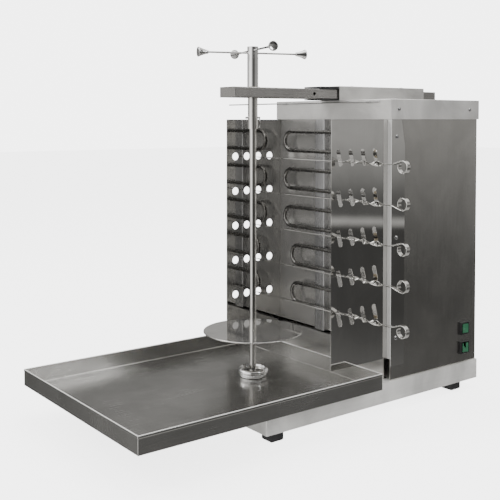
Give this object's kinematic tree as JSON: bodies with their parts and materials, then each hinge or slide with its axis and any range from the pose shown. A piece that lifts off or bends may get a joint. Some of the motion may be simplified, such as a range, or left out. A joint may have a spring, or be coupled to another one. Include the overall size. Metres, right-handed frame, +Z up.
{
  "type": "electric doner kebab grill",
  "caption": "Upright electric doner grill with a heated front, side wings holding flat skewers, a sliding arm with a hand-turned spit, and a wide drip tray.",
  "frame": {"origin": "on the underside of the base cover, below the middle of the housing's front; the feet reach 21 mm lower", "axes": "+Z up, -Y to the front where the tray is, +X to the grill's right side as seen from the front camera, where the switches and skewer rings are"},
  "size_m": [0.6565, 0.924, 0.742],
  "materials": {
    "base_steel": "satin sheet",
    "housing_steel": "brushed sheet, grain upright",
    "polished_steel": "polished",
    "reflector_steel": "satin, heat dulled",
    "heater_sheath": "matt oxide",
    "brass_fitting": "turned",
    "insulation": "fibre slab",
    "foot_rubber": "matt",
    "screw_steel": "bright",
    "spit_steel": "satin",
    "chrome": "bright plated",
    "skewer_steel": "bright strip",
    "tray_steel": "brushed sheet",
    "guide_plastic": "matt",
    "switch_plastic": "semi-gloss",
    "green_plastic": "clear tinted"
  },
  "bodies": {
    "housing": {"base_shell": "base_steel", "base_cover": "base_steel", "foot_front_left": "foot_rubber", "foot_front_right": "foot_rubber", "foot_back_left": "foot_rubber", "foot_back_right": "foot_rubber", "foot_screws": "screw_steel", "tray_rail_left": "base_steel", "tray_rail_right": "base_steel", "side_panel_left": "housing_steel", "side_panel_right": "housing_steel", "back_panel": "base_steel", "back_screws": "screw_steel", "cap": "housing_steel", "cap_screws": "screw_steel", "reflector": "reflector_steel", "insulation": "insulation", "apron": "base_steel", "heater_1": "heater_sheath", "heater_2": "heater_sheath", "heater_3": "heater_sheath", "heater_4": "heater_sheath", "heater_5": "heater_sheath", "heater_bushings": "brass_fitting", "element_support": "reflector_steel", "wing_left": "polished_steel", "wing_right": "polished_steel", "wing_screws": "screw_steel", "arm_sleeve": "housing_steel", "arm_guide": "guide_plastic", "sleeve_screws": "screw_steel", "switch_body_1": "switch_plastic", "switch_body_2": "switch_plastic", "cable_gland": "switch_plastic", "rest_rod": "chrome", "rest_rod_clips": "chrome"},
    "arm": {"arm": "spit_steel", "arm_end_plate": "spit_steel", "spit_bush": "brass_fitting"},
    "spit": {"spit_rod": "spit_steel", "spit_tube": "spit_steel", "handle_tube": "chrome", "spit_pin": "chrome", "spit_pin_ring": "chrome", "handle_spokes": "chrome", "handle_knob_1": "chrome", "handle_knob_2": "chrome", "handle_knob_3": "chrome", "handle_knob_4": "chrome", "meat_plate": "polished_steel", "plate_collar": "spit_steel"},
    "cup": {"spit_cup": "chrome"},
    "tray": {"tray": "tray_steel"},
    "skewer_1": {"skewer_1": "skewer_steel"},
    "skewer_2": {"skewer_2": "skewer_steel"},
    "skewer_3": {"skewer_3": "skewer_steel"},
    "skewer_4": {"skewer_4": "skewer_steel"},
    "skewer_5": {"skewer_5": "skewer_steel"},
    "rocker_1": {"rocker_1": "green_plastic"},
    "rocker_2": {"rocker_2": "green_plastic"}
  },
  "joints": [
    {"name": "arm_slide", "type": "slide", "parent": "housing", "child": "arm", "axis": [0, -1, 0], "range_m": [-0.06, 0.1]},
    {"name": "spit_spin", "type": "hinge", "parent": "arm", "child": "spit", "pos_m": [0, -0.212, 0.6], "axis": [0, 0, 1], "continuous": true},
    {"name": "cup_slide", "type": "slide", "parent": "housing", "child": "cup", "axis": [0, -1, 0], "range_m": [-0.06, 0.1]},
    {"name": "tray_slide", "type": "slide", "parent": "housing", "child": "tray", "axis": [0, -1, 0], "range_m": [-0.06, 0.1]},
    {"name": "skewer_1_turn", "type": "hinge", "parent": "housing", "child": "skewer_1", "pos_m": [0, -0.065, 0.1735], "axis": [1, 0, 0], "continuous": true},
    {"name": "skewer_2_turn", "type": "hinge", "parent": "housing", "child": "skewer_2", "pos_m": [0, -0.065, 0.2515], "axis": [1, 0, 0], "continuous": true},
    {"name": "skewer_3_turn", "type": "hinge", "parent": "housing", "child": "skewer_3", "pos_m": [0, -0.065, 0.3295], "axis": [1, 0, 0], "continuous": true},
    {"name": "skewer_4_turn", "type": "hinge", "parent": "housing", "child": "skewer_4", "pos_m": [0, -0.065, 0.4075], "axis": [1, 0, 0], "continuous": true},
    {"name": "skewer_5_turn", "type": "hinge", "parent": "housing", "child": "skewer_5", "pos_m": [0, -0.065, 0.4855], "axis": [1, 0, 0], "continuous": true},
    {"name": "rocker_1_tilt", "type": "hinge", "parent": "housing", "child": "rocker_1", "pos_m": [0.1855, 0.23, 0.116], "axis": [0, 0, 1], "range_deg": [0, 14]},
    {"name": "rocker_2_tilt", "type": "hinge", "parent": "housing", "child": "rocker_2", "pos_m": [0.1855, 0.23, 0.074], "axis": [0, 0, 1], "range_deg": [0, 14]}
  ],
  "couplings": [
    {"joint": "cup_slide", "follows": "arm_slide", "ratio": 1}
  ]
}
